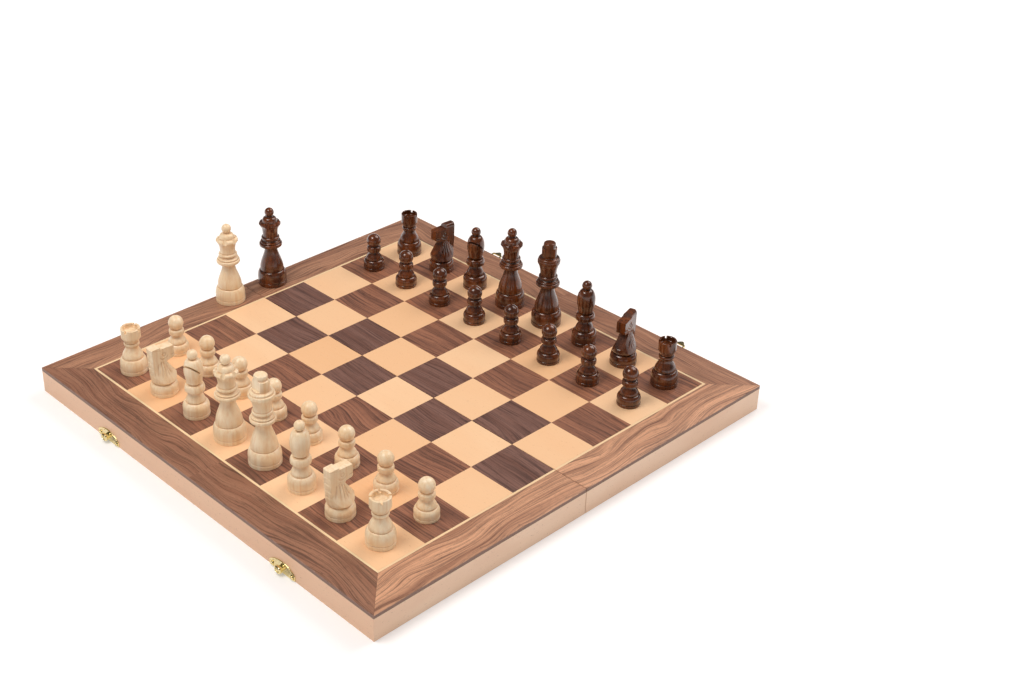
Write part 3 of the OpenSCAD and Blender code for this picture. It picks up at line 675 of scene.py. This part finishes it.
def horseMan(side, facing):
    k, r, h = horse, horse["r"], horse["h"]
    front = k["front"] + k["crown"][side]
    top = front[-1][1] * h
    z = np.unique(np.concatenate([np.arange(0.24 * h, top, k["rowStep"]), [top],
                                  np.array(front)[2:, 1] * h - 0.05, np.array(front)[2:, 1] * h]))
    z = z[z >= 0.24 * h][:, None]
    blankR, frontX = shareCurve(k["blank"], z), np.minimum(shareCurve(front, z), 1.2 * r)
    bow = 0.85 * r
    flankR = shareCurve(k["flank"], z) + bow

    def flankY(x):
        # half width of the flank: the bowed surface or the flat head, whichever stands further out
        bowed = np.sqrt(np.maximum(flankR ** 2 - (x + 0.1 * r) ** 2, 0.01)) - bow
        return np.where(z < 0.74 * h, np.maximum(bowed, k["headHalf"]), k["headHalf"])

    def corner(edgeX):
        # the first y, walking out from the middle, at which the edge meets the flank
        y = np.linspace(0, 1, 400)[None, :] * blankR * 0.999
        x = edgeX(y)
        first = np.argmax(y >= flankY(x), axis=1)
        first = np.where((y >= flankY(x)).any(axis=1), first, 399)[:, None]
        return np.take_along_axis(x, first, 1), np.take_along_axis(y, first, 1)

    def frontEdge(y):
        return np.minimum(frontX, np.sqrt(np.maximum(blankR ** 2 - y ** 2, 0)))

    def backEdge(y):
        return -np.sqrt(np.maximum(blankR ** 2 - y ** 2, 0))

    xa, ya = corner(frontEdge)
    xb, yb = corner(backEdge)
    s1, s2, s3 = np.linspace(0, 1, 7)[:-1], np.linspace(0, 1, 52), np.linspace(1, 0, 9)[1:]
    x2 = xa + (xb - xa) * s2
    y2 = np.minimum(flankY(x2), np.sqrt(np.maximum(blankR ** 2 - x2 ** 2, 0)))
    high = np.repeat(z, len(s2), 1)
    # the ears of the black horse are rounded off above the crown
    ear = np.clip((z - 0.97 * h) / (0.06 * h), 0, 1) if side == "black" else 0 * z
    narrow = np.sqrt(1 - 0.6 * ear ** 2)
    ya, yb, y2 = ya * narrow, yb * narrow, y2 * narrow
    y2 = y2 - sideCarving(x2, high, side) * (y2 > 1)
    x1, y1 = frontEdge(ya * s1), ya * s1
    x3, y3 = backEdge(yb * s3), yb * s3
    x3 = x3 + maneCarving(y3, np.repeat(z, len(s3), 1))
    xs, ys = np.hstack([x1, x2, x3]), np.hstack([y1, y2, y3])
    # the other side mirrors this one, without the points on the middle plane
    ring = np.stack([np.hstack([xs, xs[:, -2:0:-1]]), np.hstack([ys, -ys[:, -2:0:-1]]),
                     np.repeat(z, 2 * xs.shape[1] - 2, 1)], -1)
    crown = ring[-1].mean(axis=0)
    columns = ring.shape[1]
    foot = np.vstack(footCurves(r, 0.72 * r, np.array([0.08, 0.13, 0.24]) * h))[:-1]
    foot = foot[np.concatenate([[True], np.linalg.norm(np.diff(foot, axis=0), axis=1) > 0.01])]
    angle = np.arctan2(ring[0, :, 1], ring[0, :, 0])
    base = np.stack([foot[:, :1] * np.cos(angle), foot[:, :1] * np.sin(angle),
                     np.repeat(foot[:, 1:], columns, 1)], -1)
    points, faces = closedGrid(np.concatenate([base, ring, np.repeat(crown[None, None], columns, 1)]))
    # painted shade: darker in the foot's grooves and, up to half strength, along the carving of the sides
    horseShade = np.concatenate([np.repeat(grooveShadeOf(foot)[1:, None], columns, 1), np.zeros((len(z), columns))])
    carvedShade = np.clip(sideCarving(x2, high, side), 0, 0.5)
    start = len(s1)
    horseShade[-len(z):, start:start + len(s2)] = carvedShade
    horseShade[-len(z):, columns - start - len(s2) + 1:columns - start + 1] = carvedShade[:, ::-1]
    return points @ turnZ(facing).T, faces, np.concatenate([horseShade.ravel(), [0, 0]])


def grooveDepth(x, z, top, foot, bend, width, depth):
    # a gouge along a curve from one point of the side to another, fading out at both ends
    share = (top[1] - z) / (top[1] - foot[1])
    run = np.clip(share, 0, 1)
    centre = top[0] + (foot[0] - top[0]) * run + bend * np.sin(np.pi * run)
    fade = np.clip(share / 0.12, 0, 1) * np.clip((1 - share) / 0.2, 0, 1)
    return depth * fade * np.exp(-((x - centre) / width) ** 2)


def sideCarving(x, z, side):
    # depth below the side: gouges down the neck, the eye in its ring, the cheek, the mouth and, on the
    # white horse, the ear; each falls off from its middle line as a bell curve
    k = horse
    depth = sum(grooveDepth(x, z, top, foot, bend, k["gougeWidth"], k["gougeDeep"])
                for top, foot, bend in k["gouges"])
    away = np.hypot(x - k["eye"][0], z - k["eye"][1])
    depth = depth + 0.38 * np.exp(-((away - k["eyeR"]) / 0.38) ** 2) + 0.2 * np.exp(-(away / 0.4) ** 2)
    cheek = np.hypot(x + 0.6, z - 33.2)
    below = np.clip((32.6 - z) / 1.5, 0, 1) * np.clip((4.5 - x) / 1.5, 0, 1)
    depth = depth + 0.35 * below * np.exp(-((cheek - 3.6) / 0.4) ** 2)
    mouth = np.clip((x - 4.4) / 1.2, 0, 1) * np.exp(-((z - 31.0 - 0.1 * (x - 6)) / 0.33) ** 2)
    ear = np.clip((-x - 2.6) / 1.0, 0, 1) * np.exp(-((z - 37.4 + 0.25 * (x + 3)) / 0.3) ** 2)
    return depth + 0.4 * mouth + 0.22 * ear * (side == "white")


def maneCarving(y, z):
    # short nicks across the back of the neck, one every 5.4 mm, that drop towards the sides
    each = ((z + 0.35 * np.abs(y)) % 5.4) - 2.7
    return 0.6 * np.exp(-(each / 0.36) ** 2) * (z > 15) * (z < 35)


# Brass fittings. Each flat part is its outline carried out from the rail ring by ring, drawn in a
# little here and there, and closed in the middle.
fitting = {"face": 190.0, "at": 101.0, "halfWidth": 13.0, "low": 0.3, "endHigh": 4.5,
           "screwY": 10.0, "screwZ": 2.3, "catchHigh": 9.2, "latchHigh": 12.5, "latchLobe": 8.06,
           "rim": [(0, 0), (0, 0.5), (0.1, 0.7), (0.3, 0.8), (0.55, 0.76), (0.8, 0.6)],
           "pinOut": 2.3, "pinHigh": 7.5, "pinR": 0.6, "tilt": 6.0}


def placed(points, origin, u, v):
    # rows of three numbers along u, v and the direction square to both
    return np.asarray(points) @ np.array([u, v, np.cross(u, v)], float) + np.array(origin, float)


def evenly(corners, count):
    # points at equal steps along a closed line, and the direction into it at each
    closed = np.vstack([corners, corners[:1]])
    way = np.concatenate([[0], np.cumsum(np.linalg.norm(np.diff(closed, axis=0), axis=1))])
    at = np.arange(count) * way[-1] / count
    outline = np.stack([np.interp(at, way, closed[:, i]) for i in (0, 1)], -1)
    ahead = np.roll(outline, -1, axis=0) - np.roll(outline, 1, axis=0)
    ahead /= np.linalg.norm(ahead, axis=1, keepdims=True)
    return outline, np.stack([-ahead[:, 1], ahead[:, 0]], -1)


def ringed(outline, inward, levels, centre):
    # one ring for each pair of inset and height: the outline moved inwards by the inset, at the height
    rings = [np.hstack([outline + inward * inset, np.full((len(outline), 1), height)])
             for inset, height in levels]
    ends = [np.tile([*centre, levels[i][1]], (len(outline), 1)) for i in (0, -1)]
    return closedGrid(np.stack([ends[0], *rings, ends[1]]))


def arc(x, y, r, start, end, count=24):
    a = np.radians(np.linspace(start, end, count))
    return np.stack([x + r * np.cos(a), y + r * np.sin(a)], -1)


def plateShape(height, lobe):
    # straight ends and an arch in the middle, the part of a circle through its two feet and its top,
    # with a raised rolled rim
    f = fitting
    rise = height - f["endHigh"]
    archR = (lobe ** 2 + rise ** 2) / (2 * rise)
    reach = math.degrees(math.asin(min(lobe / archR, 1)))
    wide, low, high = f["halfWidth"], f["low"], f["endHigh"]
    shoulders = [arc(wide - 0.6, high - 0.6, 0.6, 0, 90, 8), arc(0.6 - wide, high - 0.6, 0.6, 90, 180, 8)]
    if lobe == wide:
        # the arch runs down to the ends and leaves no shoulders
        shoulders = [[(wide, high)], [(-wide, high)]]
    arch = arc(0, height - archR, archR, 90 - reach, 90 + reach, 60)[1:-1]
    corners = np.vstack([arc(0.8 - wide, low + 0.8, 0.8, 180, 270, 8),
                         arc(wide - 0.8, low + 0.8, 0.8, 270, 360, 8), shoulders[0], arch, shoulders[1]])
    outline, inward = evenly(corners, 260)
    return ringed(outline, inward, f["rim"], (0, 3.0))


def studShape():
    # a button on a neck: an oval squared up by taking its sine and cosine to the power 0.6, with its
    # face dished round a raised middle
    a = np.linspace(0, 2 * np.pi, 64, endpoint=False)
    outline = np.stack([3 * np.sign(np.cos(a)) * np.abs(np.cos(a)) ** 0.6,
                        2.5 * np.sign(np.sin(a)) * np.abs(np.sin(a)) ** 0.6], -1)
    levels = [(0.7, 0.4), (0.7, 2.2), (0.15, 2.45), (0, 2.8), (0, 4.1), (0.08, 4.5), (0.3, 4.82),
              (0.6, 5), (0.85, 4.95), (1, 4.4), (1.15, 4.1), (1.35, 4.1), (1.5, 4.6), (1.75, 4.9),
              (2.2, 5)]
    points, faces = ringed(outline, -outline / 2.5, levels, (0, 0))
    return points + [0, 4.5, 0], faces


def screwShape(angle):
    # a low dome, a quarter of an ellipse turned about its axis, with a sawn slot
    dome = riseCurve(1.5, 1.05, 0, 1.6)
    head = turnedMan([line((0, 0.5), (1.55, 0.5), (1.6, 0.75), (1.58, 0.98)), dome], 48)
    slot, faces = boxSolid((-2, -0.2, 1.18), (2, 0.2, 2))
    return carved(head, (slot @ turnZ(angle).T, faces))[:2]


def earShape():
    # one ear for the pin: straight at the plate, half round at the outside
    f = fitting
    corners = np.vstack([[(0.4, f["pinHigh"] + 1.3), (0.4, f["pinHigh"] - 1.3)],
                         arc(f["pinOut"], f["pinHigh"], 1.3, -90, 90)])
    outline, inward = evenly(corners, 72)
    return ringed(outline, inward, [(0.15, 0), (0, 0.15), (0, 0.8), (0.15, 0.95)],
                  (f["pinOut"] - 0.6, f["pinHigh"]))


def barShape(radius, half):
    # a round bar about its own axis, its ends rounded over 0.15 mm
    return turnedMan([line((0, -half)), turnCurve(radius - 0.15, -half, radius, -half + 0.15),
                      riseCurve(radius, half - 0.15, radius - 0.15, half), line((0, half))], 40)[:2]


def fittings(far, name, shapes, body, node):
    # both fittings of a half, from shapes drawn as across, up and out of the rail
    side = 1 if far else -1
    solids = [(placed(points, (side * fitting["face"], y, 0), (0, side, 0), (0, 0, 1)), faces)
              for y in (-fitting["at"], fitting["at"]) for points, faces in shapes]
    points, faces = joined(solids)
    addPiece(name, points, faces, brass, body, node)


def screwPair(angles):
    heads = zip((-fitting["screwY"], fitting["screwY"]), [screwShape(angle) for angle in angles])
    return [(points + [y, fitting["screwZ"], 0], faces) for y, (points, faces) in heads]


def turnedAcross(shape, y):
    # lays a shape drawn as out, up and along onto the across direction
    points, faces = shape
    return placed(points, (y, 0, 0), (0, 0, 1), (0, 1, 0)), faces


# The hasp, in its own plane with the pin at the origin: a rim, a window and the band between them.
# The section runs once round the band: the share of the way out, a shift, and the height.
hasp = {"middle": 12.0, "window": [(15.2, -3.7), (15.2, 3.7), (8.8, 3.7), (8.8, -3.7)], "tabAt": 17.5,
        "tabR": 2.2, "corner": (15.2, 3.7, 1.5), "neck": [(2.4, 5.2), (2, 4.8), (2, -4.8), (2.4, -5.2)],
        "section": [(0, 0, -0.3), (0, 0, 0.2), (0, 0.12, 0.4), (0, 0.35, 0.45), (1, -0.35, 0.45),
                    (1, -0.12, 0.4), (1, 0, 0.2), (1, 0, -0.3), (1, -0.15, -0.45), (0, 0.15, -0.45)],
        "knuckleR": 1.3, "knuckleHalf": 2.5, "neckHalf": 0.42}


def haspShape():
    # at every angle round the window's middle, the section lies along the ray from window to rim
    middle = np.array([hasp["middle"], 0.0])
    a = np.linspace(-np.pi, np.pi, 180, endpoint=False)
    x, y, r = hasp["corner"]
    outer = np.vstack([arc(hasp["tabAt"], 0, hasp["tabR"], -55, 55), arc(x, y, r, 0, 90, 12),
                       hasp["neck"], arc(x, -y, r, -90, 0, 12)])
    radii = []
    for corners in (outer, np.array(hasp["window"])):
        outline = evenly(corners, 900)[0] - middle
        angle = np.arctan2(outline[:, 1], outline[:, 0])
        order = np.argsort(angle)
        away = np.linalg.norm(outline, axis=1)
        radii.append(np.interp(a, angle[order], away[order], period=2 * np.pi))
    wide, narrow = radii
    rings = []
    for share, shift, high in hasp["section"]:
        ray = narrow + (wide - narrow) * share + shift
        rings.append(np.stack([ray * np.cos(a) + middle[0], ray * np.sin(a), np.full_like(a, high)], -1))
    count = len(a) * len(rings)
    faces = [[i % count for i in face][::-1] for face in gridFaces(len(rings) + 1, len(a))]
    long, thick = hasp["knuckleHalf"], hasp["neckHalf"]
    knuckle, knuckleFaces = barShape(hasp["knuckleR"], long)
    knuckle = placed(knuckle, (0, 0, 0), (0, 0, 1), (1, 0, 0))
    neck = boxSolid((0, -long, -thick), (fitting["pinOut"], long, thick))
    return joined([(np.vstack(rings), faces), (knuckle, knuckleFaces), neck])


catchPlate = plateShape(fitting["catchHigh"], fitting["halfWidth"])
fittings(False, "catch-plates", [catchPlate, studShape()], "near_half", "catch_plates")
fittings(False, "catch-screws", screwPair((25, 118)), "near_half", "catch_screws")
ears = [turnedAcross(earShape(), y) for y in (-3.65, 2.7)]
latchPlate = plateShape(fitting["latchHigh"], fitting["latchLobe"])
fittings(True, "latch-plates", [latchPlate] + ears, "far_half", "latch_plates")
fittings(True, "latch-screws", screwPair((70, 8)), "far_half", "latch_screws")
pin, pinFaces = barShape(fitting["pinR"], 3.7)
pin = placed(pin, (0, fitting["pinHigh"], fitting["pinOut"]), (0, 0, 1), (0, 1, 0))
fittings(True, "latch-pins", [(pin, pinFaces)], "far_half", "latch_pins")
tilt = math.radians(fitting["tilt"])
for node, y in (("left_hasp", fitting["at"]), ("right_hasp", -fitting["at"])):
    points, faces = haspShape()
    origin = (fitting["face"] + fitting["pinOut"], y, fitting["pinHigh"])
    points = placed(points, origin, (math.cos(tilt), 0, math.sin(tilt)), (0, 1, 0))
    addPiece(node.replace("_", "-"), points, faces, brass, node, node)
print("fittings made")


# How the two sides differ: which way they face, and how their kings, rooks and knights were made
sides = {"white": {"ahead": 1, "finish": paleMan, "turretR": 7.4, "kingAngle": 0, "kingRim": 9.4,
                   "horses": (0, 0)},
         "black": {"ahead": -1, "finish": darkMan, "turretR": 6.7, "kingAngle": 48, "kingRim": 8.8,
                   "horses": (175, 195)}}
turned = {"pawn": pawnMan(), "queen": queenMan()}
print("profiles turned")


def standMan(side, name, shape, x, y):
    points, faces, paintedShade = shape
    node = side + "_" + name
    piece = addPiece(node.replace("_", "-"), points + [x, y, board["top"]], faces,
                     sides[side]["finish"], node, node, paintedShade, 32)


for side, own in sides.items():
    ahead, square = own["ahead"], board["square"]
    officers = {"rook_a": rookMan(26, own["turretR"]), "knight_b": horseMan(side, own["horses"][0]),
                "bishop_c": bishopMan(200), "queen": turned["queen"],
                "king": kingMan(own["kingAngle"], own["kingRim"]), "bishop_f": bishopMan(20),
                "knight_g": horseMan(side, own["horses"][1]),
                "rook_h": rookMan(26 + 17 * 7, own["turretR"])}
    for i, (name, shape) in enumerate(officers.items()):
        standMan(side, name, shape, -3.5 * square * ahead, (3.5 - i) * square)
    for i, letter in enumerate("abcdefgh"):
        standMan(side, "pawn_" + letter, turned["pawn"], -2.5 * square * ahead, (3.5 - i) * square)
    # the spare queen stands on the border, close to the seam and to the edge
    standMan(side, "spare_queen", turned["queen"], -21.5 * ahead, board["half"] - royal["footR"] - 0.4)
    print(side, "men stand")


# Floor, backdrop and light. The sweep is matt white paper; its glow grows with the distance in metres.
sweep = {"tone": 0.86, "reach": 6.0, "glowFrom": 0.32, "glowTo": 1.6, "glowLow": 0.24, "glowHigh": 0.75}


def floorMaterial():
    material, tree, shader = newMaterial("whiteSweep")
    tone = sweep["tone"]
    shader.inputs["Base Color"].default_value = (tone, tone, tone, 1)
    shader.inputs["Roughness"].default_value = 0.9
    shader.inputs["Specular IOR Level"].default_value = 0.0
    # a glow that is seen directly, in reflections and through clear things, but falls on nothing,
    # keeps it white away from the board's shadows
    place = addNode(tree, "TexCoord").outputs["Object"]
    away = addNode(tree, "VectorMath", {0: place}, operation="LENGTH").outputs["Value"]
    glow = addNode(tree, "MapRange", {0: away, 1: sweep["glowFrom"], 2: sweep["glowTo"],
                                      3: sweep["glowLow"], 4: sweep["glowHigh"]}).outputs[0]
    path = addNode(tree, "LightPath")
    mirrored = calc(tree, "MAXIMUM", path.outputs["Is Glossy Ray"], path.outputs["Is Transmission Ray"])
    seen = calc(tree, "MAXIMUM", path.outputs["Is Camera Ray"], mirrored)
    shader.inputs["Emission Color"].default_value = (1, 1, 1, 1)
    tree.links.new(calc(tree, "MULTIPLY", seen, glow), shader.inputs["Emission Strength"])
    return material


r = sweep["reach"]
floorMesh = bpy.data.meshes.new("floor")
floorMesh.from_pydata([(-r, -r, 0), (r, -r, 0), (r, r, 0), (-r, r, 0)], [], [(0, 1, 2, 3)])
floor = bpy.data.objects.new("floor", floorMesh)
bpy.context.scene.collection.objects.link(floor)
dress(floor, floorMaterial())

# how bright the room is in reflections, low and high up, and how much it fills in everywhere
room = {"fullBelow": 0.02, "dimAbove": 0.2, "full": 1.0, "dim": 0.1, "fill": 0.45}
world = bpy.data.worlds.new("studio")
bpy.context.scene.world = world
world.use_nodes = True
tree = world.node_tree
tree.nodes.clear()
# a white backdrop, seen directly, through anything clear and, up to a little above the horizon,
# in reflections; above it the room is dim, and all other light from it is a soft fill
path = addNode(tree, "LightPath")
upward = addNode(tree, "SeparateXYZ", {0: addNode(tree, "TexCoord").outputs["Generated"]}).outputs[2]
mirrored = addNode(tree, "MapRange", {0: upward, 1: room["fullBelow"], 2: room["dimAbove"],
                                      3: room["full"], 4: room["dim"]}).outputs[0]
direct = calc(tree, "MAXIMUM", path.outputs["Is Camera Ray"], path.outputs["Is Transmission Ray"])
glossy = path.outputs["Is Glossy Ray"]
other = calc(tree, "SUBTRACT", 1.0, calc(tree, "ADD", direct, glossy), clamp=True)
strength = calc(tree, "ADD", direct, calc(tree, "MULTIPLY", glossy, mirrored))
strength = calc(tree, "ADD", strength, calc(tree, "MULTIPLY", other, room["fill"]))
sky = addNode(tree, "Background", {"Color": (1, 1, 1, 1), "Strength": strength})
addNode(tree, "OutputWorld", {"Surface": sky.outputs[0]})


# two square softboxes, sized in metres and aimed at the middle of the board
lamps = {"overheadBox": {"place": (-0.50, 0.14, 1.08), "size": 0.5, "watts": 6.2, "colour": "#FFF6F0"},
         "farBox": {"place": (1.07, -0.15, 1.18), "size": 0.95, "watts": 10.8, "colour": "#FFF3EE"}}
for name, lamp in lamps.items():
    light = bpy.data.lights.new(name, "AREA")
    light.shape, light.size, light.size_y = "RECTANGLE", lamp["size"], lamp["size"]
    light.energy = lamp["watts"]
    light.color = linear(lamp["colour"])[:3]
    softbox = bpy.data.objects.new(name, light)
    bpy.context.scene.collection.objects.link(softbox)
    softbox.location = lamp["place"]
    softbox.rotation_euler = (-softbox.location).to_track_quat("-Z", "Y").to_euler()

# The camera's place in metres, its right, down and forward directions as unit vectors, and its lens
shot = {"place": (-0.66329, -0.74074, 0.65265), "right": (0.742254, -0.670112, -0.002991),
        "down": (-0.347779, -0.381396, -0.856497), "forward": (0.572808, 0.636778, -0.516144),
        "lens": 55.63, "sensor": 36.0, "shiftX": 0.1078}
camera = bpy.data.cameras.new("camera")
view = bpy.data.objects.new("camera", camera)
bpy.context.scene.collection.objects.link(view)
axes = [(right, -down, -forward) for right, down, forward in
        zip(shot["right"], shot["down"], shot["forward"])]
turnTo = Matrix(axes).to_4x4()
turnTo.translation = shot["place"]
view.matrix_world = turnTo
camera.sensor_width, camera.lens = shot["sensor"], shot["lens"]
camera.shift_x, camera.shift_y = shot["shiftX"], 0.0
camera.clip_start, camera.clip_end = 0.01, 30.0
bpy.context.scene.camera = view
bpy.context.scene.view_settings.view_transform = "Standard"
print("stage, light and camera set")
